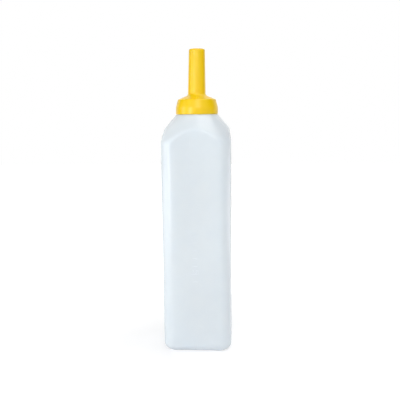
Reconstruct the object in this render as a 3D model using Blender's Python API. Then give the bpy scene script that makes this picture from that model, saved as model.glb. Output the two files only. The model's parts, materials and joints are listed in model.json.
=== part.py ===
"""Livestock nursing bottle: a square blow-moulded bottle with a push-on rubber nipple.

The bottle stands on the origin with +Z up, and its front face looks along -Y. Outlines are
lists of corners (radius, height, fillet), read in a plane that stands on the Z axis.
"""
from math import acos, atan2, cos, pi, radians, sin, sqrt, tan

import bmesh
import bpy
from mathutils import Matrix, Vector

MM = 0.001

# Gap kept between two pieces that touch
GAP = 0.3 * MM

# Bottle body
BODY_WIDTH = 98 * MM
BODY_CORNER = 15.8 * MM
BOTTLE_WALL = 1.4 * MM
BASE_FILLET = 11.7 * MM
PUSH_UP_RADIUS = 27.5 * MM
PUSH_UP_SLOPE = 6 * MM
PUSH_UP_DEPTH = 3 * MM
PUSH_UP_FILLET = 1.5 * MM

# Conical shoulder, from the flat sides up to a ledge round the neck
LEDGE_HEIGHT = 340.3 * MM
LEDGE_SETBACK = 1 * MM
SHOULDER_ANGLE = radians(41.5)
ARCH_FILLET = 16.3 * MM

# Neck, with the bead that the nipple snaps over
NECK_BORE = 23 * MM
NECK_WALL = 2 * MM
NECK_HEIGHT = 16.8 * MM
GROOVE_HEIGHT = 5 * MM
BEAD_STEP = 2.1 * MM
BEAD_HEIGHT = 4.7 * MM
MOUTH_TAPER = 1.4 * MM
NECK_FILLET = 0.8 * MM
BEAD_FILLET = 2 * MM

# Nipple
NIPPLE_WALL = 2.9 * MM
SEAL_WALL = 3.85 * MM
SEAL_LAP = 0.5 * MM
SKIRT_STRAIGHT = 9.3 * MM
SKIRT_TAPER = radians(15)
SKIRT_BLEND = 12 * MM
SKIRT_FILLET = 0.8 * MM
RIM_FILLET = 2 * MM
SLOPE_ANGLE = radians(23)
TEAT_BASE_RADIUS = 12.7 * MM
TEAT_TIP_RADIUS = 11.4 * MM
TEAT_LENGTH = 65.4 * MM
TEAT_FILLET = 4.1 * MM
TIP_FILLET = 2.2 * MM
TIP_DOME = 0.9 * MM
SLIT_LENGTH = 8 * MM
SLIT_WIDTH = 0.4 * MM

# Air vent in the nipple's slope, closed by a loose ball
VENT_TURN = radians(4.5)
BALL_RADIUS = 1.6 * MM
BALL_TRAVEL = 1.5 * MM
BALL_PLAY = 0.3 * MM
DIMPLE_RADIUS = 2 * MM
DIMPLE_DEPTH = 0.9 * MM
AIR_HOLE_RADIUS = 0.9 * MM
AIR_HOLE_LENGTH = 1.3 * MM
CAGE_WALL = 1.2 * MM
CAGE_LIP_RADIUS = 1.15 * MM
CAGE_LIP_THICKNESS = 0.9 * MM
CAGE_SLOT_WIDTH = 0.8 * MM
CAGE_CLEARANCE = 0.9 * MM

# Facets: a fillet from the large size up gets more steps than a small one
FLAT_STEPS = 8
CORNER_STEPS = 5
TURNED_STEPS = 56
VENT_STEPS = 24
LARGE_FILLET = 3 * MM
LARGE_FILLET_STEPS = 4
SMALL_FILLET_STEPS = 2

# How far a cutter runs past the wall that it cuts
OVERCUT = 1 * MM

# Sizes that follow from those above
HALF_WIDTH = BODY_WIDTH / 2
NECK_RADIUS = NECK_BORE + NECK_WALL
BEAD_RADIUS = NECK_RADIUS + BEAD_STEP
MOUTH_RADIUS = BEAD_RADIUS - MOUTH_TAPER
MOUTH_HEIGHT = LEDGE_HEIGHT + NECK_HEIGHT
SKIRT_RADIUS = BEAD_RADIUS + GAP + NIPPLE_WALL
SKIRT_HEIGHT = LEDGE_HEIGHT + GAP
LEDGE_RADIUS = SKIRT_RADIUS - LEDGE_SETBACK
RIM_HEIGHT = MOUTH_HEIGHT + GAP + SEAL_WALL
RIM_RADIUS = SKIRT_RADIUS - (RIM_HEIGHT - SKIRT_HEIGHT - SKIRT_STRAIGHT) * tan(SKIRT_TAPER)
TEAT_FOOT = RIM_HEIGHT + (RIM_RADIUS - TEAT_BASE_RADIUS) * tan(SLOPE_ANGLE)
TEAT_TOP = TEAT_FOOT + TEAT_LENGTH

# Depths along the vent, from the nipple's slope inwards: the ball shuts the air hole on a
# 45 degree seat, and rests on the lip of its cage
CHAMBER_RADIUS = BALL_RADIUS + BALL_PLAY
CAGE_RADIUS = CHAMBER_RADIUS + CAGE_WALL
HOLE_END = DIMPLE_DEPTH + AIR_HOLE_LENGTH
SEAT_END = HOLE_END + CHAMBER_RADIUS - AIR_HOLE_RADIUS
BALL_SHUT_DEPTH = HOLE_END - AIR_HOLE_RADIUS + (BALL_RADIUS + GAP) * sqrt(2)
BALL_REST_DEPTH = BALL_SHUT_DEPTH + BALL_TRAVEL
LIP_DEPTH = BALL_REST_DEPTH + sqrt((BALL_RADIUS + GAP) ** 2 - CAGE_LIP_RADIUS ** 2)
CAGE_DEPTH = LIP_DEPTH + CAGE_LIP_THICKNESS


def direction(start, end):
    """Unit vector from one corner to the next, heights and radii only."""
    return (Vector(end[:2]) - Vector(start[:2])).normalized()


def left_of(vector):
    """The same vector turned a quarter turn to its left."""
    return Vector((-vector.y, vector.x))


def beside(corners, distance):
    """Corners of a parallel outline, a distance to the left, or to the right if negative.

    A fillet on the inside of the turn shrinks by the distance, and one on the outside grows.
    """
    moved = []
    last = len(corners) - 1
    for index, (radius, height, fillet) in enumerate(corners):
        here = Vector((radius, height))
        arriving = direction(corners[max(index - 1, 0)], corners[max(index, 1)])
        leaving = direction(corners[min(index, last - 1)], corners[min(index + 1, last)])
        shift = left_of(arriving) + left_of(leaving)
        shift *= distance / (1 + arriving.dot(leaving))
        turn = arriving.cross(leaving)
        if turn > 0:
            fillet = max(fillet - distance, 0)
        elif turn < 0:
            fillet = max(fillet + distance, 0)
        moved.append((here.x + shift.x, here.y + shift.y, fillet))
    return moved


def rounded(corners):
    """Points (radius, height) along the outline, with each fillet drawn as an arc.

    A fillet takes up at most half of the shorter side that it joins.
    """
    points = [corners[0][:2]]
    for before, corner, after in zip(corners, corners[1:], corners[2:]):
        if corner[2] == 0:
            points.append(corner[:2])
            continue
        steps = LARGE_FILLET_STEPS if corner[2] >= LARGE_FILLET else SMALL_FILLET_STEPS
        here = Vector(corner[:2])
        arriving = direction(before, corner)
        leaving = direction(corner, after)
        turn = acos(max(-1.0, min(1.0, arriving.dot(leaving))))
        side = 1 if arriving.cross(leaving) > 0 else -1
        shorter = min((here - Vector(before[:2])).length, (Vector(after[:2]) - here).length)
        tangent = min(corner[2] * tan(turn / 2), 0.49 * shorter)
        fillet = tangent / tan(turn / 2)
        centre = here - arriving * tangent + left_of(arriving) * side * fillet
        spoke = -left_of(arriving) * side * fillet
        for step in range(steps + 1):
            part = Matrix.Rotation(side * turn * step / steps, 2) @ spoke
            points.append(tuple(centre + part))
    points.append(corners[-1][:2])
    return points


def finish(name, colour, roughness, metallic=0.0, transmission=0.0):
    """Principled material with one colour, in linear values."""
    material = bpy.data.materials.new(name)
    material.use_nodes = True
    shader = material.node_tree.nodes["Principled BSDF"]
    shader.inputs["Base Color"].default_value = (*colour, 1)
    shader.inputs["Roughness"].default_value = roughness
    shader.inputs["Metallic"].default_value = metallic
    shader.inputs["Transmission Weight"].default_value = transmission
    return material


def add_object(name, bm, material=None):
    """Turn a bmesh into a smooth-shaded object, with sharp edges kept sharp."""
    mesh = bpy.data.meshes.new(name)
    bm.to_mesh(mesh)
    bm.free()
    mesh.shade_smooth()
    mesh.set_sharp_from_angle(angle=radians(40))
    if material:
        mesh.materials.append(material)
    piece = bpy.data.objects.new(name, mesh)
    bpy.context.scene.collection.objects.link(piece)
    return piece


def turned(points, steps):
    """Spin an outline that starts and ends on the Z axis into a closed solid."""
    bm = bmesh.new()
    verts = [bm.verts.new((radius, 0, height)) for radius, height in points]
    edges = [bm.edges.new(pair) for pair in zip(verts, verts[1:])]
    bmesh.ops.spin(bm, geom=verts + edges, cent=(0, 0, 0), axis=(0, 0, 1),
                   angle=2 * pi, steps=steps, use_merge=True)
    bmesh.ops.remove_doubles(bm, verts=bm.verts, dist=0.001 * MM)
    bmesh.ops.recalc_face_normals(bm, faces=bm.faces)
    return bm


def shape_with(piece, tool, operation):
    """Join a tool body to a piece, or cut it out, and keep the tool out of the model."""
    modifier = piece.modifiers.new(tool.name, "BOOLEAN")
    modifier.operation = operation
    modifier.solver = "EXACT"
    modifier.object = tool
    tool.parent = piece
    tool.hide_render = True
    tool.display_type = "WIRE"


# Bottle


def wall_reach(angle, inset):
    """Distance from the axis to the rounded square wall, in one direction."""
    half = HALF_WIDTH - inset
    corner = BODY_CORNER - inset
    centre = half - corner
    turn = angle % (pi / 2)
    turn = min(turn, pi / 2 - turn)
    if half * tan(turn) <= centre:
        return half / cos(turn)
    along = centre * (cos(turn) + sin(turn))
    return along + sqrt(along ** 2 - 2 * centre ** 2 + corner ** 2)


def column_angles():
    """Directions of the mesh columns: even steps on each flat side and on each corner."""
    flat_end = atan2(HALF_WIDTH - BODY_CORNER, HALF_WIDTH)
    angles = []
    for side in range(4):
        middle = side * pi / 2
        for step in range(FLAT_STEPS):
            angles.append(middle + flat_end * (2 * step / FLAT_STEPS - 1))
        for step in range(CORNER_STEPS):
            angles.append(middle + flat_end + (pi / 2 - 2 * flat_end) * step / CORNER_STEPS)
    return angles


def body_corners(reach):
    """Outside of the body, from the middle of its base up to the ledge round the neck."""
    arch_height = LEDGE_HEIGHT - (reach - LEDGE_RADIUS) / tan(SHOULDER_ANGLE)
    return [
        (0, PUSH_UP_DEPTH, 0),
        (PUSH_UP_RADIUS - PUSH_UP_SLOPE, PUSH_UP_DEPTH, PUSH_UP_FILLET),
        (PUSH_UP_RADIUS, 0, PUSH_UP_FILLET),
        (reach, 0, BASE_FILLET),
        (reach, arch_height, ARCH_FILLET),
        (LEDGE_RADIUS, LEDGE_HEIGHT, NECK_FILLET),
        (NECK_BORE, LEDGE_HEIGHT, NECK_FILLET),
    ]


def neck_corners():
    """Outside of the neck, from the ledge up over the bead to the mouth."""
    bead_foot = LEDGE_HEIGHT + GROOVE_HEIGHT + BEAD_STEP
    return [
        (LEDGE_RADIUS, LEDGE_HEIGHT, 0),
        (NECK_RADIUS, LEDGE_HEIGHT, NECK_FILLET),
        (NECK_RADIUS, LEDGE_HEIGHT + GROOVE_HEIGHT, NECK_FILLET),
        (BEAD_RADIUS, bead_foot, NECK_FILLET),
        (BEAD_RADIUS, bead_foot + BEAD_HEIGHT, BEAD_FILLET),
        (MOUTH_RADIUS, MOUTH_HEIGHT, NECK_FILLET),
        (NECK_BORE, MOUTH_HEIGHT, NECK_FILLET),
    ]


def bottle_points(angle):
    """Points of the bottle's whole wall in one direction: up the outside, down the inside."""
    outside = body_corners(wall_reach(angle, 0))
    inside = beside(body_corners(wall_reach(angle, BOTTLE_WALL) + BOTTLE_WALL), BOTTLE_WALL)
    return rounded(outside[:-1] + neck_corners()[1:] + inside[::-1])


def bottle_mesh():
    """Skin the bottle over its columns, closed by one point on the axis at each end."""
    bm = bmesh.new()
    outlines = [bottle_points(angle) for angle in column_angles()]
    low_pole = bm.verts.new((0, 0, outlines[0][0][1]))
    high_pole = bm.verts.new((0, 0, outlines[0][-1][1]))
    columns = []
    for angle, outline in zip(column_angles(), outlines):
        column = [low_pole]
        for radius, height in outline[1:-1]:
            column.append(bm.verts.new((radius * cos(angle), radius * sin(angle), height)))
        columns.append(column + [high_pole])
    for column, after in zip(columns, columns[1:] + columns[:1]):
        for corners in zip(column, after, after[1:], column[1:]):
            # At a pole two of the four corners are one point, so the face is a triangle
            bm.faces.new(list(dict.fromkeys(corners)))
    return bm


# Nipple


def nipple_corners():
    """Outside of the nipple, from the skirt's foot up to the middle of the teat's tip."""
    return [
        (SKIRT_RADIUS, SKIRT_HEIGHT, SKIRT_FILLET),
        (SKIRT_RADIUS, SKIRT_HEIGHT + SKIRT_STRAIGHT, SKIRT_BLEND),
        (RIM_RADIUS, RIM_HEIGHT, RIM_FILLET),
        (TEAT_BASE_RADIUS, TEAT_FOOT, TEAT_FILLET),
        (TEAT_TIP_RADIUS, TEAT_TOP - TIP_DOME, TIP_FILLET),
        (0, TEAT_TOP, 0),
    ]


def nipple_points():
    """Closed section of the nipple: down its hollow, round the skirt's foot, up the outside."""
    outside = nipple_corners()
    hollow = beside(outside, NIPPLE_WALL)
    hollow[-1] = (0, hollow[-1][1], 0)
    seal_edge = NECK_BORE - SEAL_LAP
    slope_height = hollow[3][1] - (seal_edge - hollow[3][0]) * tan(SLOPE_ANGLE)
    seat = beside(neck_corners(), -GAP)[1:-1]
    seal = [
        (seal_edge, slope_height, NECK_FILLET),
        (seal_edge, MOUTH_HEIGHT + GAP, 0),
    ]
    return rounded(hollow[:2:-1] + seal + seat[::-1] + outside)


def slope_frame():
    """Place and turn of the vent: on the nipple's slope, with local +Z pointing out of it.

    The vent lies where the ball's cage, which hangs below the slope, clears the bottle's
    mouth by the cage clearance.
    """
    lean = SLOPE_ANGLE
    slope_at_axis = RIM_HEIGHT + RIM_RADIUS * tan(lean)
    mouth_limit = NECK_BORE - CAGE_CLEARANCE - CAGE_RADIUS / cos(lean)
    radius = (mouth_limit + (slope_at_axis - MOUTH_HEIGHT) * tan(lean)) * cos(lean) ** 2
    height = slope_at_axis - radius * tan(lean)
    spin = Matrix.Rotation(VENT_TURN - pi / 2, 4, "Z")
    place = Matrix.Translation((radius, 0, height))
    return spin @ place @ Matrix.Rotation(lean, 4, "Y")


def cage_body():
    """Short tube under the slope, from inside the wall down to the lip that holds the ball."""
    return turned([
        (0, -NIPPLE_WALL / 2),
        (CAGE_RADIUS, -NIPPLE_WALL / 2),
        (CAGE_RADIUS, -CAGE_DEPTH),
        (0, -CAGE_DEPTH),
    ], VENT_STEPS)


def vent_space():
    """Dimple, air hole, seat, chamber and lip opening, as one body to cut away."""
    flare = DIMPLE_RADIUS + (DIMPLE_RADIUS - AIR_HOLE_RADIUS) * OVERCUT / DIMPLE_DEPTH
    return turned([
        (0, OVERCUT),
        (flare, OVERCUT),
        (AIR_HOLE_RADIUS, -DIMPLE_DEPTH),
        (AIR_HOLE_RADIUS, -HOLE_END),
        (CHAMBER_RADIUS, -SEAT_END),
        (CHAMBER_RADIUS, -LIP_DEPTH),
        (CAGE_LIP_RADIUS, -LIP_DEPTH),
        (CAGE_LIP_RADIUS, -CAGE_DEPTH - OVERCUT),
        (0, -CAGE_DEPTH - OVERCUT),
    ], VENT_STEPS)


def block(size, centre):
    """Box of a given size round a point."""
    bm = bmesh.new()
    bmesh.ops.create_cube(bm, size=1, matrix=Matrix.Translation(centre) @ Matrix.Diagonal((*size, 1)))
    return bm


def add_bottle():
    plastic = finish("translucent_polyethylene", (0.76, 0.84, 0.89), 0.35, transmission=0.3)
    return add_object("bottle", bottle_mesh(), plastic)


def add_nipple(vent):
    rubber = finish("yellow_rubber", (0.95, 0.67, 0.05), 0.45)
    nipple = add_object("nipple", turned(nipple_points(), TURNED_STEPS), rubber)

    # Crossed slits through the tip of the teat
    slit_depth = NIPPLE_WALL + TIP_DOME + 2 * OVERCUT
    slit_centre = (0, 0, TEAT_TOP + OVERCUT - slit_depth / 2)
    for name, size in (
        ("tip_slit_x", (SLIT_LENGTH, SLIT_WIDTH, slit_depth)),
        ("tip_slit_y", (SLIT_WIDTH, SLIT_LENGTH, slit_depth)),
    ):
        shape_with(nipple, add_object(name, block(size, slit_centre)), "DIFFERENCE")

    cage = add_object("vent_cage", cage_body())
    cage.matrix_world = vent
    shape_with(nipple, cage, "UNION")

    # Slot across the cage's lip, which lets air past the ball
    slot_size = (CAGE_SLOT_WIDTH, 2 * BALL_RADIUS, CAGE_LIP_THICKNESS + OVERCUT)
    slot = add_object("cage_slot", block(slot_size, (0, 0, (-LIP_DEPTH - CAGE_DEPTH) / 2)))
    space = add_object("vent_space", vent_space())
    shape_with(space, slot, "UNION")
    space.matrix_world = vent
    shape_with(nipple, space, "DIFFERENCE")
    return nipple


def add_vent_ball(nipple, vent):
    steel = finish("stainless_ball", (0.62, 0.62, 0.6), 0.2, metallic=1.0)
    bm = bmesh.new()
    bmesh.ops.create_icosphere(bm, subdivisions=3, radius=BALL_RADIUS)
    ball = add_object("vent_ball", bm, steel)
    ball.parent = nipple
    ball.matrix_world = vent @ Matrix.Translation((0, 0, -BALL_REST_DEPTH))
    return ball


for leftover in list(bpy.data.objects):
    bpy.data.objects.remove(leftover)

vent_frame = slope_frame()
bottle = add_bottle()
nipple = add_nipple(vent_frame)
nipple.parent = bottle
add_vent_ball(nipple, vent_frame)
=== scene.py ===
# %% [markdown]
# A calf's nursing bottle
#
# The real object is a tall square bottle, blow-moulded in milky polyethylene, and one piece of
# moulded yellow rubber that is pushed over a bead round the bottle's neck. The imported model
# gives their true sizes, but it is faceted and has plain colours. This lesson puts a fine
# surface over each piece, worked out from the same sizes, and then finishes and lights it.

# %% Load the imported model
import json
from math import ceil, degrees, pi, radians, tan

import bmesh
import bpy
import numpy as np
from mathutils import Matrix, Vector

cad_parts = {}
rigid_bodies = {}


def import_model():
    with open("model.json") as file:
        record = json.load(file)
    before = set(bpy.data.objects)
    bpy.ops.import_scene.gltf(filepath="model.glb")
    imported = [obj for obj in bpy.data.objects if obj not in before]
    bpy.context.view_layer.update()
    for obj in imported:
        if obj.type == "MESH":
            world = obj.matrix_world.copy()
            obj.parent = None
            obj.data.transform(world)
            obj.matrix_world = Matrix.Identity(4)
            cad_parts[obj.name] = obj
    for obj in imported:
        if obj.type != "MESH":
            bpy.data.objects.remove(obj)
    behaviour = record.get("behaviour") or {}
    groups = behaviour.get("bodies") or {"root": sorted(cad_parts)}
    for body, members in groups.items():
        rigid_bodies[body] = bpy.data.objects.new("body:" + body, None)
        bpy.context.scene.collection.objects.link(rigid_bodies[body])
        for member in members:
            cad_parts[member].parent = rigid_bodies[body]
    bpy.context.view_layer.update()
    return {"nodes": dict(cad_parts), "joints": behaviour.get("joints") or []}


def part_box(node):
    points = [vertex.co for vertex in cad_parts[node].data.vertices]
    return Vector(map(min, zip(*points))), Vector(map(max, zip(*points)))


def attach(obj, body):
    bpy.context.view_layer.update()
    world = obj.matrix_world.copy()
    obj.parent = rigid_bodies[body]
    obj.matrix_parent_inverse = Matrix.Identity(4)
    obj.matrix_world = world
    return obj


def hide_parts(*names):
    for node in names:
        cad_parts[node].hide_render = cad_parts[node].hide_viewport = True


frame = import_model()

MM = 0.001

# %% [markdown]
# Camera
#
# The photograph looks at the front a little from the right and from above the middle, through a
# lens of normal length. The bottle leans a touch to the left in it, so the camera is rolled. The
# order of the turns matters: roll about the line of sight first, then the tilt, then the heading.

# %% Camera at the photograph's viewpoint
CAMERA_PLACE = (58.4 * MM, -860.6 * MM, 344.8 * MM)
CAMERA_LENS = 53.27
CAMERA_TILT = radians(8.54)
CAMERA_HEADING = radians(3.68)
CAMERA_ROLL = radians(-0.6)

camera_data = bpy.data.cameras.new("photo_camera")
camera_data.lens = CAMERA_LENS
camera = bpy.data.objects.new("photo_camera", camera_data)
bpy.context.scene.collection.objects.link(camera)
camera.matrix_world = (
    Matrix.Translation(CAMERA_PLACE)
    @ Matrix.Rotation(CAMERA_HEADING, 4, "Z")
    @ Matrix.Rotation(pi / 2 - CAMERA_TILT, 4, "X")
    @ Matrix.Rotation(CAMERA_ROLL, 4, "Z")
)
bpy.context.scene.camera = camera
bpy.context.scene.view_settings.view_transform = "Standard"
print("camera", [round(value, 3) for value in camera.matrix_world.translation])

# %% [markdown]
# Outlines
#
# Both pieces are walls that follow an outline round the bottle's axis. An outline is written as
# a few corners, each with the radius of its fillet, because that is how a mould is drawn. A wall
# of even thickness is the same outline, moved sideways. All columns of a surface are worked out
# at once, so a corner may be one number, or an array with one value for each column.

# %% Corners of an outline, and its parallel
def spread(corners):
    """Corners as an array (corners, columns, 2), with single numbers repeated."""
    columns = max(np.size(value) for corner in corners for value in corner[:2])
    return np.array([
        np.stack([np.broadcast_to(value, columns) for value in corner[:2]], axis=-1)
        for corner in corners
    ], dtype=float)


def left_of(ways):
    """Directions turned a quarter turn to their left."""
    return np.stack([-ways[..., 1], ways[..., 0]], axis=-1)


def turn_between(arriving, leaving):
    """Angle from one direction to the next, positive to the left."""
    across = arriving[..., 0] * leaving[..., 1] - arriving[..., 1] * leaving[..., 0]
    return np.arctan2(across, (arriving * leaving).sum(axis=-1))


def beside(corners, distance):
    """Corners of the parallel outline, a distance to the left.

    A corner moves by the sum of the left sides of its two runs, times the distance, over one
    plus the cosine of the turn. A fillet shrinks inside the turn and grows outside it.
    """
    places = spread(corners)
    ways = np.diff(places, axis=0)
    ways /= np.linalg.norm(ways, axis=2, keepdims=True)
    moved = []
    for index, (place, corner) in enumerate(zip(places, corners)):
        arriving, leaving = ways[max(index - 1, 0)], ways[min(index, len(ways) - 1)]
        turn = turn_between(arriving, leaving)
        shift = (left_of(arriving) + left_of(leaving)) * distance / (1 + np.cos(turn))[:, None]
        fillet = np.maximum(corner[2] - np.sign(turn.mean()) * distance, 0)
        moved.append((*(place + shift).T, np.where(corner[2], fillet, 0)))
    return moved


square = [(0, 0, 0), (10 * MM, 0, 2 * MM), (10 * MM, 10 * MM, 0)]
print("parallel of a right angle, 1 mm inside:", spread(beside(square, MM))[1, 0] / MM)

# %% Rounded corners
ARC_STEP = radians(7.5)
FILLET_SHARE = 0.49


def turned_by(spoke, angles):
    """A spoke (columns, 2), turned by each angle (steps, columns) about its foot."""
    cosine, sine = np.cos(angles), np.sin(angles)
    return np.stack([
        spoke[:, 0] * cosine - spoke[:, 1] * sine,
        spoke[:, 0] * sine + spoke[:, 1] * cosine,
    ], axis=-1)


def rounded(corners, span):
    """Points (rows, columns, 2) of an outline, with an arc at each corner.

    An arc touches both runs at fillet times the tangent of half the turn from the corner. Its
    points are its first spoke, turned step by step about its centre. Straight runs are cut in
    equal spans, no longer than the one given.
    """
    places = spread(corners)
    ways = np.diff(places, axis=0)
    lengths = np.linalg.norm(ways, axis=2, keepdims=True)
    ways /= lengths
    rows = [places[:1]]
    for index in range(1, len(corners)):
        arc = places[index:index + 1]
        fillet = np.reshape(corners[index][2], (-1, 1))
        if fillet.any():
            arriving, leaving = ways[index - 1], ways[index]
            turn = turn_between(arriving, leaving)
            half = np.tan(np.abs(turn) / 2)[:, None]
            room = FILLET_SHARE * np.minimum(lengths[index - 1], lengths[index])
            tangent = np.minimum(fillet * half, room)
            spoke = -left_of(arriving) * np.sign(turn)[:, None] * tangent / half
            steps = ceil(np.abs(turn).max() / ARC_STEP)
            angles = turn * np.linspace(0, 1, steps + 1)[:, None]
            arc = places[index] - arriving * tangent - spoke + turned_by(spoke, angles)
        run = np.linalg.norm(arc[0] - rows[-1][-1], axis=1).max()
        share = np.linspace(0, 1, max(ceil(run / span), 1) + 1)[1:-1, None, None]
        rows += [rows[-1][-1:] * (1 - share) + arc[:1] * share, arc]
    return np.concatenate(rows)


print("a right angle becomes", len(rounded(square, 5 * MM)), "points")

# %% [markdown]
# From a grid to a closed mesh
#
# A surface is a grid of points: rows along the outline, columns round the axis. Neighbours make
# a quad. The outlines start and end on the axis, so the first and the last row are one point
# each, closed by triangles. Rows run up the outside and columns turn to the left, which makes
# every face look outwards.

# %% Skin a grid
SMOOTH_UNDER = radians(34)


def closed_skin(name, grid):
    """Closed mesh over a grid (rows, columns, 3) that starts and ends in a point."""
    rows, columns, _ = grid.shape
    points = np.vstack([grid[0, :1], grid[1:-1].reshape(-1, 3), grid[-1, :1]])
    here = np.arange(1, 1 + (rows - 2) * columns).reshape(rows - 2, columns)
    after = np.roll(here, -1, axis=1)
    quads = np.stack([here[:-1], after[:-1], after[1:], here[1:]], axis=-1).reshape(-1, 4)
    first, last = np.zeros(columns, int), np.full(columns, len(points) - 1)
    start = np.stack([first, after[0], here[0]], axis=-1)
    end = np.stack([last, here[-1], after[-1]], axis=-1)
    mesh = bpy.data.meshes.new(name)
    mesh.from_pydata(points.tolist(), [], start.tolist() + quads.tolist() + end.tolist())
    mesh.shade_smooth()
    mesh.set_sharp_from_angle(angle=SMOOTH_UNDER)
    piece = bpy.data.objects.new(name, mesh)
    bpy.context.scene.collection.objects.link(piece)
    return piece


def turned(outline, angles):
    """Grid (rows, columns, 3): each column's outline stands in the plane at its own angle."""
    radius, height, angle = np.broadcast_arrays(outline[..., 0], outline[..., 1], angles)
    return np.stack([radius * np.cos(angle), radius * np.sin(angle), height], axis=-1)


print("skins are smooth under", round(degrees(SMOOTH_UNDER)), "degrees")

# %% [markdown]
# Sizes
#
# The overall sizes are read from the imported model, so that the fine surfaces can't drift from
# it. The smaller ones, such as walls and fillets, are those of the moulds.

# %% Sizes of the bottle
bottle_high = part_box("bottle")[1]
nipple_low, nipple_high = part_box("nipple")
GAP = 0.3 * MM
HALF_WIDTH = bottle_high.x
MOUTH_HEIGHT = bottle_high.z
SKIRT_RADIUS = nipple_high.x
LEDGE_HEIGHT = nipple_low.z - GAP
TEAT_TOP = nipple_high.z

BODY_CORNER = 15.8 * MM
BOTTLE_WALL = 1.4 * MM
BASE_FILLET = 11.7 * MM
PUSH_UP_RADIUS = 27.5 * MM
PUSH_UP_SLOPE = 6 * MM
PUSH_UP_DEPTH = 3 * MM
PUSH_UP_FILLET = 1.5 * MM
LEDGE_RADIUS = SKIRT_RADIUS - 1 * MM
SHOULDER_ANGLE = radians(41.5)
SHOULDER_FILLET = 16.3 * MM
ARCH_FILLET = 8 * MM
PANEL_DRAW = 2.5 * MM
NECK_BORE = 23 * MM
NECK_RADIUS = 25 * MM
BEAD_RADIUS = 27.1 * MM
MOUTH_RADIUS = 25.7 * MM
GROOVE_HEIGHT = 5 * MM
BEAD_HEIGHT = 4.7 * MM
NECK_FILLET = 0.8 * MM
BEAD_FILLET = 2 * MM
print("bottle", round(2 * HALF_WIDTH / MM), "mm wide, mouth at", round(MOUTH_HEIGHT / MM, 1), "mm")

# %% [markdown]
# The bottle's body
#
# The body is square with round corners, and the shoulder above it is a plain cone. In any plane
# through the axis the outline is therefore the same one, except for how far out the wall stands:
# that reach is what a column needs to know. Where the cone meets a flat side, it meets it lower
# towards the corners, and the fillet between them draws the arch that is seen on each side. A
# thin side draws in as it cools, most in its middle under the arch, and there the fillet is
# tighter.

# %% Columns and reach of the square wall
FLAT_COLUMNS = 16
CORNER_COLUMNS = 12
SEAM_WIDTH = 0.45 * MM
SEAM_COLUMNS = (-4, -2.4, -1.6, -0.8, 0.8, 1.6, 2.4, 4)


def wall_reach(angles, inset):
    """Distance from the axis to the square wall with round corners, in each direction.

    On a flat side it is the half width over the cosine. Past the end of the flat it is where
    the ray meets the corner's circle.
    """
    half, corner = HALF_WIDTH - inset, BODY_CORNER - inset
    centre = half - corner
    turn = angles % (pi / 2)
    turn = np.minimum(turn, pi / 2 - turn)
    along = centre * (np.cos(turn) + np.sin(turn))
    circle = along + np.sqrt(np.maximum(along ** 2 - 2 * centre ** 2 + corner ** 2, 0))
    return np.where(half * np.tan(turn) <= centre, half / np.cos(turn), circle)


def middle_of_side(x, y):
    """One in the middle of a flat side and zero at its ends: one minus a cube, squared."""
    across = np.minimum(np.abs(x), np.abs(y)) / (HALF_WIDTH - BODY_CORNER)
    return (1 - np.clip(across, 0, 1) ** 3) ** 2


flat_end = np.arctan((HALF_WIDTH - BODY_CORNER) / HALF_WIDTH)
flat = np.linspace(-flat_end, flat_end, FLAT_COLUMNS + 1)
corner = np.linspace(flat_end, pi / 2 - flat_end, CORNER_COLUMNS + 1)[1:-1]
quarter = np.concatenate([flat, corner])
seam = np.arctan(np.array(SEAM_COLUMNS) * SEAM_WIDTH / HALF_WIDTH)
everywhere = np.concatenate([quarter + side * pi / 2 for side in range(4)] + [seam, seam + pi])
body_angles = np.unique(np.round(everywhere % (2 * pi), 7))
print("columns round the body:", len(body_angles))

# %% Outlines of the body and the neck
def shoulder_height(radius):
    """Height of the cone at a distance from the axis."""
    return LEDGE_HEIGHT - (radius - LEDGE_RADIUS) / tan(SHOULDER_ANGLE)


def body_corners(reach):
    """Outside of the body, from the middle of its base up to the ledge round the neck."""
    middle = middle_of_side(reach * np.cos(body_angles), reach * np.sin(body_angles))
    drawn = reach - PANEL_DRAW * middle
    fillet = SHOULDER_FILLET + (ARCH_FILLET - SHOULDER_FILLET) * middle
    return [
        (0, PUSH_UP_DEPTH, 0),
        (PUSH_UP_RADIUS - PUSH_UP_SLOPE, PUSH_UP_DEPTH, PUSH_UP_FILLET),
        (PUSH_UP_RADIUS, 0, PUSH_UP_FILLET),
        (reach, 0, BASE_FILLET),
        (drawn, shoulder_height(drawn), fillet),
        (LEDGE_RADIUS, LEDGE_HEIGHT, NECK_FILLET),
        (NECK_BORE, LEDGE_HEIGHT, NECK_FILLET),
    ]


def neck_corners():
    """Outside of the neck, from the ledge up over the bead to the mouth."""
    bead_foot = LEDGE_HEIGHT + GROOVE_HEIGHT + BEAD_RADIUS - NECK_RADIUS
    return [
        (LEDGE_RADIUS, LEDGE_HEIGHT, 0),
        (NECK_RADIUS, LEDGE_HEIGHT, NECK_FILLET),
        (NECK_RADIUS, LEDGE_HEIGHT + GROOVE_HEIGHT, NECK_FILLET),
        (BEAD_RADIUS, bead_foot, NECK_FILLET),
        (BEAD_RADIUS, bead_foot + BEAD_HEIGHT, BEAD_FILLET),
        (MOUTH_RADIUS, MOUTH_HEIGHT, NECK_FILLET),
        (NECK_BORE, MOUTH_HEIGHT, NECK_FILLET),
    ]


outside = body_corners(wall_reach(body_angles, 0))
inside = beside(body_corners(wall_reach(body_angles, BOTTLE_WALL) + BOTTLE_WALL), BOTTLE_WALL)
bottle_corners = outside[:-1] + neck_corners()[1:] + inside[::-1]
print("the wall's outline has", len(bottle_corners), "corners")

# %% [markdown]
# Blow-moulding leaves its marks: the walls of a thin bottle are never quite flat, the two halves
# of the mould leave a fine raised line up two sides and across the neck, and the tube of plastic
# is pinched shut along the same line under the base. These are moved into the mesh, because a
# milky surface shows them by its soft highlights.

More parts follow.
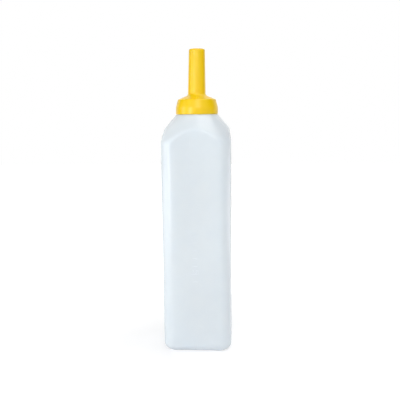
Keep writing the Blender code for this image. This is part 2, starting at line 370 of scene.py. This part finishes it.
# %% The bottle's surface
BODY_SPAN = 5 * MM
WAVE_DEPTH = 0.1 * MM
PANEL_SINK = 0.25 * MM
SEAM_DEPTH = 0.16 * MM
WAVE_LENGTHS = ((17, 41), (-13, 29), (23, -67))
WAVES_START = 20 * MM
WAVES_END = 30 * MM
SINK_END = 4 * BASE_FILLET
TINY = 1e-12


def outward(grid):
    """Unit normals of a grid, from the cross product of its two directions."""
    round_axis = np.roll(grid, -1, axis=1) - np.roll(grid, 1, axis=1)
    normals = np.cross(round_axis, np.gradient(grid, axis=0))
    return normals / np.maximum(np.linalg.norm(normals, axis=2, keepdims=True), TINY)


def moulding_marks(grid):
    """How far the outside is moved along its normals.

    Slow waves are sines across and up the wall with unlike lengths, and they fade towards the
    base and the neck. The middle of a side sinks, and up the side this goes as one minus a
    fourth power. The parting line is a bell curve across the plane y = 0, and it ends above the
    ring that the bottle stands on.
    """
    x, y, z = np.moveaxis(grid, -1, 0)
    waves = sum(np.sin((x + y) / (across * MM) + z / (up * MM)) for across, up in WAVE_LENGTHS)
    waves *= np.clip(z / WAVES_START, 0, 1) * np.clip((LEDGE_HEIGHT - z) / WAVES_END, 0, 1)
    side_height = LEDGE_HEIGHT - SINK_END - BASE_FILLET
    up = np.clip(2 * (z - BASE_FILLET) / side_height - 1, -1, 1)
    sink = middle_of_side(x, y) * (1 - up ** 4)
    parting = np.exp(-(y / SEAM_WIDTH) ** 2) * np.clip(z / PUSH_UP_DEPTH, 0, 1)
    return WAVE_DEPTH / 3 * waves - PANEL_SINK * sink + SEAM_DEPTH * parting


bottle_grid = turned(rounded(bottle_corners, BODY_SPAN), body_angles)
mouth_row = int(np.argmax(bottle_grid[:, 0, 2]))
shift = outward(bottle_grid) * moulding_marks(bottle_grid)[..., None]
bottle_grid[1:mouth_row] += shift[1:mouth_row]
bottle = closed_skin("bottle_body", bottle_grid)
print("bottle:", len(bottle.data.polygons), "faces, wall", BOTTLE_WALL / MM, "mm")

# %% [markdown]
# The nipple
#
# The rubber is one piece: a skirt whose lip grips under the bead of the neck, a pad that seals
# on the mouth, a slope, and the hollow teat. Its inside follows the neck with a small gap, and
# above that the outside with an even wall, so both come from outlines that are there already.

# %% Outline of the nipple
NIPPLE_WALL = 2.9 * MM
SEAL_WALL = 3.85 * MM
SEAL_LAP = 0.5 * MM
SKIRT_STRAIGHT = 9.3 * MM
SKIRT_TAPER = radians(15)
SKIRT_BLEND = 12 * MM
SKIRT_FILLET = 0.8 * MM
RIM_FILLET = 2 * MM
SLOPE_ANGLE = radians(23)
TEAT_BASE_RADIUS = 12.7 * MM
TEAT_TIP_RADIUS = 11.4 * MM
TEAT_FILLET = 4.1 * MM
TIP_FILLET = 2.2 * MM
TIP_DOME = 0.9 * MM
RIM_HEIGHT = MOUTH_HEIGHT + GAP + SEAL_WALL
RIM_RADIUS = SKIRT_RADIUS - (RIM_HEIGHT - nipple_low.z - SKIRT_STRAIGHT) * tan(SKIRT_TAPER)
TEAT_FOOT = RIM_HEIGHT + (RIM_RADIUS - TEAT_BASE_RADIUS) * tan(SLOPE_ANGLE)

nipple_outside = [
    (SKIRT_RADIUS, nipple_low.z, SKIRT_FILLET),
    (SKIRT_RADIUS, nipple_low.z + SKIRT_STRAIGHT, SKIRT_BLEND),
    (RIM_RADIUS, RIM_HEIGHT, RIM_FILLET),
    (TEAT_BASE_RADIUS, TEAT_FOOT, TEAT_FILLET),
    (TEAT_TIP_RADIUS, TEAT_TOP - TIP_DOME, TIP_FILLET),
    (0, TEAT_TOP, 0),
]
hollow = beside(nipple_outside, NIPPLE_WALL)
hollow[-1] = (0, hollow[-1][1], 0)
seal_edge = NECK_BORE - SEAL_LAP
slope_height = hollow[3][1] - (seal_edge - hollow[3][0]) * tan(SLOPE_ANGLE)
seal = [(seal_edge, slope_height, NECK_FILLET), (seal_edge, MOUTH_HEIGHT + GAP, 0)]
seat = beside(neck_corners(), -GAP)[1:-1]
nipple_corners = hollow[:2:-1] + seal + seat[::-1] + nipple_outside
print("teat", round((TEAT_TOP - TEAT_FOOT) / MM, 1), "mm long, rim", round(RIM_HEIGHT / MM, 1), "mm up")

# %% Place of the air vent
BALL_REST_DEPTH = 5.487 * MM
(vent_joint,) = [joint for joint in frame["joints"] if joint["name"] == "vent_ball_travel"]
ball_low, ball_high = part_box("vent_ball")
vent_way = Vector(vent_joint["axis"])
vent_across = Vector((0, 0, 1)).cross(vent_way).normalized()
vent_turn = Matrix((vent_across.cross(vent_way), vent_across, vent_way)).transposed()
vent_frame = Matrix.Translation((ball_low + ball_high) / 2 + vent_way * BALL_REST_DEPTH)
vent_frame @= vent_turn.to_4x4()
print("vent at", [round(value / MM, 1) for value in vent_frame.translation], "mm")

# %% The nipple's surface
NIPPLE_SPAN = 1.5 * MM
NIPPLE_COLUMNS = 120
nipple_angles = np.linspace(0, 2 * pi, NIPPLE_COLUMNS, endpoint=False)
nipple_grid = turned(rounded(nipple_corners, NIPPLE_SPAN), nipple_angles)
nipple = closed_skin("nipple_rubber", nipple_grid)
print("nipple:", len(nipple.data.polygons), "faces before cutting")

# %% Cutting the vent and the slits
SLIT_LENGTH = 8 * MM
SLIT_WIDTH = 0.4 * MM
DIMPLE_RADIUS = 2 * MM
DIMPLE_DEPTH = 0.9 * MM
AIR_HOLE_RADIUS = 0.9 * MM
HOLE_END = DIMPLE_DEPTH + 1.3 * MM
CHAMBER_RADIUS = 1.9 * MM
SEAT_END = HOLE_END + CHAMBER_RADIUS - AIR_HOLE_RADIUS
CAGE_RADIUS = CHAMBER_RADIUS + 1.2 * MM
LIP_DEPTH = 6.999 * MM
CAGE_DEPTH = LIP_DEPTH + 0.9 * MM
CAGE_LIP_RADIUS = 1.15 * MM
CAGE_SLOT = (0.8 * MM, 3.2 * MM)
CAGE_FILLET = 0.3 * MM
DIMPLE_FILLET = 0.5 * MM
OVERCUT = 1 * MM
VENT_SPAN = 2 * MM
VENT_COLUMNS = 40


def vent_body(name, outline):
    """Turned body on the vent's own axis, from an outline of (radius, depth, fillet)."""
    corners = [(radius, -depth, fillet) for radius, depth, fillet in outline]
    angles = np.linspace(0, 2 * pi, VENT_COLUMNS, endpoint=False)
    body = closed_skin(name, turned(rounded(corners, VENT_SPAN), angles))
    body.data.transform(vent_frame)
    return body


def block(name, size, centre, place=Matrix.Identity(4)):
    """Box of a given size round a point, for a straight cut."""
    signs = np.array([(x, y, z) for x in (-1, 1) for y in (-1, 1) for z in (-1, 1)])
    points = signs * np.array(size) / 2 + np.array(centre)
    faces = [(0, 1, 3, 2), (4, 6, 7, 5), (0, 4, 5, 1), (2, 3, 7, 6), (0, 2, 6, 4), (1, 5, 7, 3)]
    mesh = bpy.data.meshes.new(name)
    mesh.from_pydata(points.tolist(), [], faces)
    mesh.transform(place)
    body = bpy.data.objects.new(name, mesh)
    bpy.context.scene.collection.objects.link(body)
    return body


def shape_with(piece, tool, operation):
    """Join the tool to the piece or cut it out, apply the result and remove the tool."""
    modifier = piece.modifiers.new(tool.name, "BOOLEAN")
    modifier.operation = operation
    modifier.solver = "EXACT"
    modifier.object = tool
    shaped = piece.evaluated_get(bpy.context.evaluated_depsgraph_get())
    mesh = bpy.data.meshes.new_from_object(shaped)
    piece.modifiers.remove(modifier)
    piece.data = mesh
    bpy.data.objects.remove(tool)


tip = TEAT_TOP - NIPPLE_WALL / 2
slit_depth = NIPPLE_WALL + 3 * OVERCUT
for name, size in (
    ("slit_x", (SLIT_LENGTH, SLIT_WIDTH, slit_depth)),
    ("slit_y", (SLIT_WIDTH, SLIT_LENGTH, slit_depth)),
):
    shape_with(nipple, block(name, size, (0, 0, tip)), "DIFFERENCE")
cage = vent_body("cage", [
    (0, CAGE_DEPTH, 0),
    (CAGE_RADIUS, CAGE_DEPTH, CAGE_FILLET),
    (CAGE_RADIUS, NIPPLE_WALL / 2, 0),
    (0, NIPPLE_WALL / 2, 0),
])
shape_with(nipple, cage, "UNION")
flare = (DIMPLE_RADIUS - AIR_HOLE_RADIUS) / DIMPLE_DEPTH
space = vent_body("space", [
    (0, CAGE_DEPTH + OVERCUT, 0),
    (CAGE_LIP_RADIUS, CAGE_DEPTH + OVERCUT, 0),
    (CAGE_LIP_RADIUS, LIP_DEPTH, 0),
    (CHAMBER_RADIUS, LIP_DEPTH, 0),
    (CHAMBER_RADIUS, SEAT_END, 0),
    (AIR_HOLE_RADIUS, HOLE_END, 0),
    (AIR_HOLE_RADIUS, DIMPLE_DEPTH, DIMPLE_FILLET),
    (DIMPLE_RADIUS + flare * OVERCUT, -OVERCUT, 0),
    (0, -OVERCUT, 0),
])
slot_size = (*CAGE_SLOT, CAGE_DEPTH - LIP_DEPTH + OVERCUT)
slot = block("slot", slot_size, (0, 0, -(LIP_DEPTH + CAGE_DEPTH) / 2), vent_frame)
shape_with(space, slot, "UNION")
shape_with(nipple, space, "DIFFERENCE")
print("nipple:", len(nipple.data.polygons), "faces")

# %% [markdown]
# Soft rubber that is pulled on by hand is never quite straight: in the photograph the teat leans
# to the right by less than a degree. The lean grows evenly from the foot of the teat.

# %% The teat's lean
TEAT_LEAN = 0.0125


def reshape(mesh, change):
    """Move the points of a mesh. The change takes and returns an array (points, 3)."""
    points = np.empty(3 * len(mesh.vertices))
    mesh.vertices.foreach_get("co", points)
    mesh.vertices.foreach_set("co", change(points.reshape(-1, 3)).ravel())
    mesh.shade_smooth()
    mesh.set_sharp_from_angle(angle=SMOOTH_UNDER)


def lean(points):
    """Move points to the right by the lean times their height over the foot of the teat."""
    points[:, 0] += TEAT_LEAN * np.maximum(points[:, 2] - TEAT_FOOT, 0)
    return points


reshape(nipple.data, lean)
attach(nipple, "nipple")
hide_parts("nipple")
print("the tip leans", round(TEAT_LEAN * (TEAT_TOP - TEAT_FOOT) / MM, 2), "mm to the right")

# %% [markdown]
# Scale marks
#
# The mould presses a short scale into the middle of the front, for the usual feeds between one
# litre and one and a half. It has a bar for each tenth of a litre and plain numbers at both ends
# of the range. The height of a mark follows from the inside of the bottle, a square with round
# corners. The strokes are joined to the wall and stand out by three tenths of a millimetre.

# %% Heights of the marks
LITRE = 0.001
TENTHS = np.arange(9, 16)
BASE_LOSS = 3 * MM
half_inside = HALF_WIDTH - BOTTLE_WALL
corner_inside = BODY_CORNER - BOTTLE_WALL
inside_area = 4 * half_inside ** 2 - (4 - pi) * corner_inside ** 2
mark_heights = BASE_LOSS + TENTHS / 10 * LITRE / inside_area
print("marks at", np.round(mark_heights / MM).astype(int).tolist(), "mm")

# %% Strokes of the marks
MARKS_MIDDLE = -2 * MM
MARK_RELIEF = 0.3 * MM
LONG_BAR = 11 * MM
SHORT_BAR = 6 * MM
BAR_HEIGHT = 0.9 * MM
NUMBER_HEIGHT = 5 * MM
NUMBER_LIFT = 1.2 * MM
STROKE_ROUNDING = 0.1 * MM
FIGURE_SHARE = 0.7
SOFTNESS = 0.4
BAR_COLUMNS, BAR_ROWS = 24, 17
WELD = 1e-6


def softened(wave):
    """A sine or cosine with flatter tops: its sign times its size to the power SOFTNESS."""
    return np.sign(wave) * np.abs(wave) ** SOFTNESS


def bar(length, height):
    """Cushion-shaped bar: a globe lying along x, with softened sines and cosines."""
    around, along = np.meshgrid(
        np.linspace(0, 2 * pi, BAR_COLUMNS, endpoint=False), np.linspace(-pi / 2, pi / 2, BAR_ROWS))
    grid = np.stack([
        length / 2 * softened(np.sin(along)),
        MARK_RELIEF * softened(np.cos(along)) * softened(np.cos(around)),
        BAR_HEIGHT / 2 * softened(np.cos(along)) * softened(np.sin(around)),
    ], axis=-1)
    grid += (MARKS_MIDDLE, 0, height)
    return closed_skin("bar", grid)


def number(value, height):
    """A number as a mesh, laid out flat and then turned up to face the front.

    A figure is only a share of the size of its type, so the size is the height over that share.
    """
    curve = bpy.data.curves.new("number", "FONT")
    curve.body = f"{value:.1f}"
    curve.size = NUMBER_HEIGHT / FIGURE_SHARE
    curve.align_x = "CENTER"
    curve.extrude = MARK_RELIEF - STROKE_ROUNDING
    curve.bevel_depth = STROKE_ROUNDING
    curve.bevel_resolution = 2
    writing = bpy.data.objects.new("number", curve)
    bpy.context.scene.collection.objects.link(writing)
    mesh = bpy.data.meshes.new_from_object(writing)
    bpy.data.objects.remove(writing)
    mesh.transform(Matrix.Translation((MARKS_MIDDLE, 0, height)) @ Matrix.Rotation(pi / 2, 4, "X"))
    piece = bpy.data.objects.new("number", mesh)
    bpy.context.scene.collection.objects.link(piece)
    return piece


strokes = []
for tenth, height in zip(TENTHS, mark_heights):
    strokes.append(bar(SHORT_BAR if tenth % 5 else LONG_BAR, height))
    if tenth % 5 == 0:
        strokes.append(number(tenth / 10, height + NUMBER_LIFT))
print("strokes:", len(strokes))

# %% The marks join the wall
def onto_wall(points):
    """Move points from the plane y = 0 to the front, which draws in evenly up to its arch."""
    x, _, z = points.T
    wall = np.stack([x, np.full(len(points), -HALF_WIDTH), z], axis=-1)
    drawn = PANEL_DRAW * middle_of_side(x, HALF_WIDTH)
    points[:, 1] -= HALF_WIDTH - drawn * z / shoulder_height(HALF_WIDTH - drawn)
    points[:, 1] -= moulding_marks(wall)
    return points


build = bmesh.new()
for stroke in strokes:
    build.from_mesh(stroke.data)
    bpy.data.objects.remove(stroke)
bmesh.ops.remove_doubles(build, verts=build.verts, dist=WELD)
loose_edges = sum(not edge.is_manifold for edge in build.edges)
marks = bpy.data.objects.new("marks", bpy.data.meshes.new("marks"))
bpy.context.scene.collection.objects.link(marks)
build.to_mesh(marks.data)
build.free()
reshape(marks.data, onto_wall)
shape_with(bottle, marks, "UNION")
reshape(bottle.data, np.copy)
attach(bottle, "bottle")
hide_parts("bottle")
print("bottle with marks:", len(bottle.data.polygons), "faces, loose edges", loose_edges)

# %% [markdown]
# Materials
#
# Colours are written as sRGB hex codes, as a paint chart gives them, and made linear for the
# shader. All patterns read Object coordinates, which are metres on these pieces, so the scale of
# a pattern is one over its size. One small helper adds a node with its settings and its links.

# %% Colours and nodes
def linear(code):
    """Linear colour of a hex code: over 0.04045, (value + 0.055) / 1.055 to the power 2.4."""
    values = np.array([int(code[place:place + 2], 16) for place in (1, 3, 5)]) / 255
    values = np.where(values <= 0.04045, values / 12.92, ((values + 0.055) / 1.055) ** 2.4)
    return (*values.tolist(), 1)


def add_node(tree, kind, inputs, **settings):
    """Add a node. Each input takes a value or another node's output; settings are its own."""
    node = tree.nodes.new(kind)
    for name, value in settings.items():
        setattr(node, name, value)
    for name, value in inputs.items():
        if isinstance(value, bpy.types.NodeSocket):
            tree.links.new(value, node.inputs[name])
        else:
            node.inputs[name].default_value = value
    return node


def new_material(name):
    """Material with an empty node tree, and its Object coordinates."""
    material = bpy.data.materials.new(name)
    material.use_nodes = True
    material.node_tree.nodes.clear()
    coordinates = add_node(material.node_tree, "ShaderNodeTexCoord", {})
    return material, material.node_tree, coordinates.outputs["Object"]


print("the yellow of the rubber is", [round(value, 3) for value in linear("#F8D006")])

# %% [markdown]
# Milky polyethylene
#
# Low-density polyethylene is waxy and cloudy: light goes in, wanders a few millimetres and comes
# out somewhere else. That is subsurface scattering, and it needs the real wall with its inside,
# which the mesh has. Blow-moulding adds fine vertical lines from the die, an orange peel of a
# millimetre or two, and a wall that is not equally thick everywhere, so not equally white.

# %% Material: blow-moulded polyethylene
DIE_LINE = 1.4 * MM
DIE_LINE_STRETCH = 0.02
PEEL = 1.6 * MM
THICKNESS_PATCH = 24 * MM

polyethylene, tree, place = new_material("blow_moulded_ldpe")
patches = add_node(
    tree, "ShaderNodeTexNoise", {"Vector": place, "Scale": 1 / THICKNESS_PATCH, "Detail": 3})
stretched = add_node(
    tree, "ShaderNodeMapping", {"Vector": place, "Scale": (1, 1, DIE_LINE_STRETCH)})
die_lines = add_node(
    tree, "ShaderNodeTexNoise",
    {"Vector": stretched.outputs[0], "Scale": 1 / DIE_LINE, "Detail": 2})
peel = add_node(tree, "ShaderNodeTexNoise", {"Vector": place, "Scale": 1 / PEEL, "Detail": 2})
whiteness = add_node(tree, "ShaderNodeMix", {
    0: patches.outputs["Fac"],
    6: linear("#E0EAFB"),
    7: linear("#E6EFFE"),
}, data_type="RGBA")
gloss = add_node(tree, "ShaderNodeMapRange", {
    "Value": die_lines.outputs["Fac"],
    "To Min": 0.2,
    "To Max": 0.3,
})
lines_bump = add_node(tree, "ShaderNodeBump", {
    "Height": die_lines.outputs["Fac"],
    "Strength": 0.3,
    "Distance": 0.05 * MM,
})
peel_bump = add_node(tree, "ShaderNodeBump", {
    "Height": peel.outputs["Fac"],
    "Normal": lines_bump.outputs["Normal"],
    "Strength": 0.3,
    "Distance": 0.06 * MM,
})
shader = add_node(tree, "ShaderNodeBsdfPrincipled", {
    "Base Color": whiteness.outputs[2],
    "Roughness": gloss.outputs["Result"],
    "Normal": peel_bump.outputs["Normal"],
    "IOR": 1.51,
    "Subsurface Weight": 1,
    "Subsurface Radius": (1, 1, 1),
    "Subsurface Scale": 2 * MM,
})
add_node(tree, "ShaderNodeOutputMaterial", {"Surface": shader.outputs["BSDF"]})
bottle.data.materials.clear()
bottle.data.materials.append(polyethylene)
print("polyethylene on", bottle.name)

# %% [markdown]
# Yellow rubber
#
# The nipple is compression-moulded natural rubber. The steel mould is eroded by sparks, which
# leaves an even satin grain, and the colour is a pigment that covers well, with a little light
# bleeding through thin edges. Soft wax blooms out in faint, paler clouds.

# %% Material: moulded natural rubber
BLOOM_CLOUD = 9 * MM
MOULD_GRAIN = 0.5 * MM

rubber, tree, place = new_material("moulded_natural_rubber")
clouds = add_node(
    tree, "ShaderNodeTexNoise", {"Vector": place, "Scale": 1 / BLOOM_CLOUD, "Detail": 4})
grain = add_node(
    tree, "ShaderNodeTexNoise", {"Vector": place, "Scale": 1 / MOULD_GRAIN, "Detail": 2})
bloom = add_node(tree, "ShaderNodeMix", {
    0: clouds.outputs["Fac"],
    6: linear("#F6CC02"),
    7: linear("#F8D006"),
}, data_type="RGBA")
satin = add_node(tree, "ShaderNodeMapRange", {
    "Value": clouds.outputs["Fac"],
    "To Min": 0.26,
    "To Max": 0.34,
})
grain_bump = add_node(tree, "ShaderNodeBump", {
    "Height": grain.outputs["Fac"],
    "Strength": 0.35,
    "Distance": 0.03 * MM,
})
shader = add_node(tree, "ShaderNodeBsdfPrincipled", {
    "Base Color": bloom.outputs[2],
    "Roughness": satin.outputs["Result"],
    "Normal": grain_bump.outputs["Normal"],
    "IOR": 1.52,
    "Subsurface Weight": 0.15,
    "Subsurface Radius": (1, 0.6, 0.1),
    "Subsurface Scale": 1.5 * MM,
})
add_node(tree, "ShaderNodeOutputMaterial", {"Surface": shader.outputs["BSDF"]})
nipple.data.materials.clear()
nipple.data.materials.append(rubber)
print("rubber on", nipple.name)

# %% [markdown]
# Stainless steel
#
# The check ball is a bearing ball of stainless steel: lapped to a mirror, then dulled a little by
# milk and washing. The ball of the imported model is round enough, so it only gets the finish.

# %% Material: lapped stainless steel
WATER_SPOT = 0.8 * MM

steel, tree, place = new_material("lapped_stainless_steel")
spots = add_node(
    tree, "ShaderNodeTexNoise", {"Vector": place, "Scale": 1 / WATER_SPOT, "Detail": 3})
dulled = add_node(tree, "ShaderNodeMapRange", {
    "Value": spots.outputs["Fac"],
    "From Min": 0.4,
    "From Max": 0.7,
    "To Min": 0.08,
    "To Max": 0.26,
})
tone = add_node(tree, "ShaderNodeMix", {
    0: spots.outputs["Fac"],
    6: linear("#D2D2D0"),
    7: linear("#BEBCB8"),
}, data_type="RGBA")
shader = add_node(tree, "ShaderNodeBsdfPrincipled", {
    "Base Color": tone.outputs[2],
    "Roughness": dulled.outputs["Result"],
    "Metallic": 1,
})
add_node(tree, "ShaderNodeOutputMaterial", {"Surface": shader.outputs["BSDF"]})
for material_slot in frame["nodes"]["vent_ball"].material_slots:
    material_slot.material = steel
print("steel on vent_ball")

# %% [markdown]
# Studio
#
# The bottle stands on white paper that runs up behind it, so the floor is nearly white to the
# eye, to reflections and to what is seen through something, and it keeps the shadow. Its glow
# grows with the distance from the bottle's foot, so the shadow stays close to it. The world is
# white to the eye. To other rays it is a dark room with a pale wall behind the camera, and gloss
# and clear bodies also show the white backdrop behind the bottle.

# %% Floor
FLOOR_HALF = 3
PAPER_SHADE = 0.45
PAPER_GLOW = 0.62
GLOW_FROM = 0.1
GLOW_TO = 0.4

floor_mesh = bpy.data.meshes.new("floor")
corners = [(x * FLOOR_HALF, y * FLOOR_HALF, 0) for x, y in ((-1, -1), (1, -1), (1, 1), (-1, 1))]
floor_mesh.from_pydata(corners, [], [(0, 1, 2, 3)])
floor = bpy.data.objects.new("floor", floor_mesh)
bpy.context.scene.collection.objects.link(floor)

paper, tree, place = new_material("white_paper")
rays = add_node(tree, "ShaderNodeLightPath", {}).outputs
in_gloss = add_node(
    tree, "ShaderNodeMath", {0: rays["Is Glossy Ray"], 1: rays["Is Transmission Ray"]},
    operation="MAXIMUM")
seen = add_node(
    tree, "ShaderNodeMath", {0: in_gloss.outputs[0], 1: rays["Is Camera Ray"]},
    operation="MAXIMUM")
reach = add_node(tree, "ShaderNodeVectorMath", {0: place}, operation="LENGTH")
evenness = add_node(tree, "ShaderNodeMapRange", {
    "Value": reach.outputs["Value"],
    "From Min": GLOW_FROM,
    "From Max": GLOW_TO,
    "To Min": PAPER_GLOW,
    "To Max": 1,
}, interpolation_type="SMOOTHSTEP")
shade = add_node(tree, "ShaderNodeBsdfDiffuse", {"Color": (PAPER_SHADE,) * 3 + (1,)})
glow = add_node(tree, "ShaderNodeEmission", {"Strength": evenness.outputs["Result"]})
bright = add_node(tree, "ShaderNodeAddShader", {0: shade.outputs[0], 1: glow.outputs[0]})
plain = add_node(tree, "ShaderNodeBsdfDiffuse", {"Color": linear("#E8E8E8")})
mixed = add_node(
    tree, "ShaderNodeMixShader", {0: seen.outputs[0], 1: plain.outputs[0], 2: bright.outputs[0]})
add_node(tree, "ShaderNodeOutputMaterial", {"Surface": mixed.outputs[0]})
floor_mesh.materials.append(paper)
print("white paper,", 2 * FLOOR_HALF, "m wide")

# %% World
ROOM_SIDES = (
    ((0, -1, 0), -0.1, 0.57),
    ((0, 1, 0), 0.2, 1),
)
SIDE_FULL = 0.7

world = bpy.data.worlds.new("studio")
world.use_nodes = True
world.node_tree.nodes.clear()
tree = world.node_tree
direction = add_node(tree, "ShaderNodeTexCoord", {}).outputs["Generated"]
rays = add_node(tree, "ShaderNodeLightPath", {}).outputs
in_gloss = add_node(
    tree, "ShaderNodeMath", {0: rays["Is Glossy Ray"], 1: rays["Is Transmission Ray"]},
    operation="MAXIMUM")
sides = []
for side, start, strength in ROOM_SIDES:
    facing = add_node(
        tree, "ShaderNodeVectorMath", {0: direction, 1: side}, operation="DOT_PRODUCT")
    sides.append(add_node(tree, "ShaderNodeMapRange", {
        "Value": facing.outputs["Value"],
        "From Min": start,
        "From Max": SIDE_FULL,
        "To Min": 0,
        "To Max": strength,
    }, interpolation_type="SMOOTHSTEP").outputs["Result"])
in_front, behind = sides
room_and_backdrop = add_node(
    tree, "ShaderNodeMath", {0: behind, 1: in_gloss.outputs[0], 2: in_front},
    operation="MULTIPLY_ADD")
strength = add_node(tree, "ShaderNodeMix", {
    0: rays["Is Camera Ray"],
    2: room_and_backdrop.outputs[0],
    3: 1.0,
})
light = add_node(
    tree, "ShaderNodeBackground", {"Strength": strength.outputs[0], "Color": (1, 1, 1, 1)})
add_node(tree, "ShaderNodeOutputWorld", {"Surface": light.outputs[0]})
bpy.context.scene.world = world
print("sides of the room:", ROOM_SIDES)

# %% [markdown]
# Lamps
#
# A tall soft light to the left of the camera draws the long highlight down the corner and over
# the rubber, and a card further left fills the far side. A fill stands beside the camera. A strip
# high in front and a light almost straight above draw the bright patch on the cone. A light high
# on the right and a low card under it keep the shaded side from going dark, and one behind does
# the same for the back.

# %% Soft lights
def soft_light(name, azimuth, elevation, distance, size, brightness, aim):
    """Rectangular light. Azimuth turns from the front to the right; aim is a height.

    Its power is brightness times pi times its area, so that brightness is what it would look
    like: 1 is as bright as white paper.
    """
    light = bpy.data.lights.new(name, "AREA")
    light.shape = "RECTANGLE"
    light.size, light.size_y = size
    light.energy = brightness * pi * size[0] * size[1]
    turn = Matrix.Rotation(radians(azimuth), 4, "Z") @ Matrix.Rotation(radians(90 - elevation), 4, "X")
    lamp = bpy.data.objects.new(name, light)
    lamp.matrix_world = Matrix.Translation((0, 0, aim)) @ turn @ Matrix.Translation((0, 0, distance))
    bpy.context.scene.collection.objects.link(lamp)
    print(name, [round(value, 2) for value in lamp.matrix_world.translation])
    return lamp


soft_light("key_softbox", -32, 0, 0.8, (0.2, 0.6), 5.5, 0.32)
soft_light("left_card", -75, 0, 0.8, (0.3, 0.6), 2.6, 0.32)
soft_light("front_fill", 8, 25, 1, (0.5, 0.4), 2.9, 0.3)
soft_light("high_strip", 5, 60, 1.2, (0.5, 0.2), 2.6, 0.3)
soft_light("zenith_light", 90, 82, 1.2, (0.3, 0.24), 10, 0.3)
soft_light("right_high_light", 90, 60, 1.1, (0.5, 0.4), 3.8, 0.3)
soft_light("right_card", 98, 0, 0.5, (0.5, 0.26), 1.7, 0.15)
back_fill = soft_light("back_fill", 180, 30, 1, (0.6, 0.5), 5, 0.25)
back_fill.visible_glossy = False  # its mirror image would whiten the slope round the teat's foot
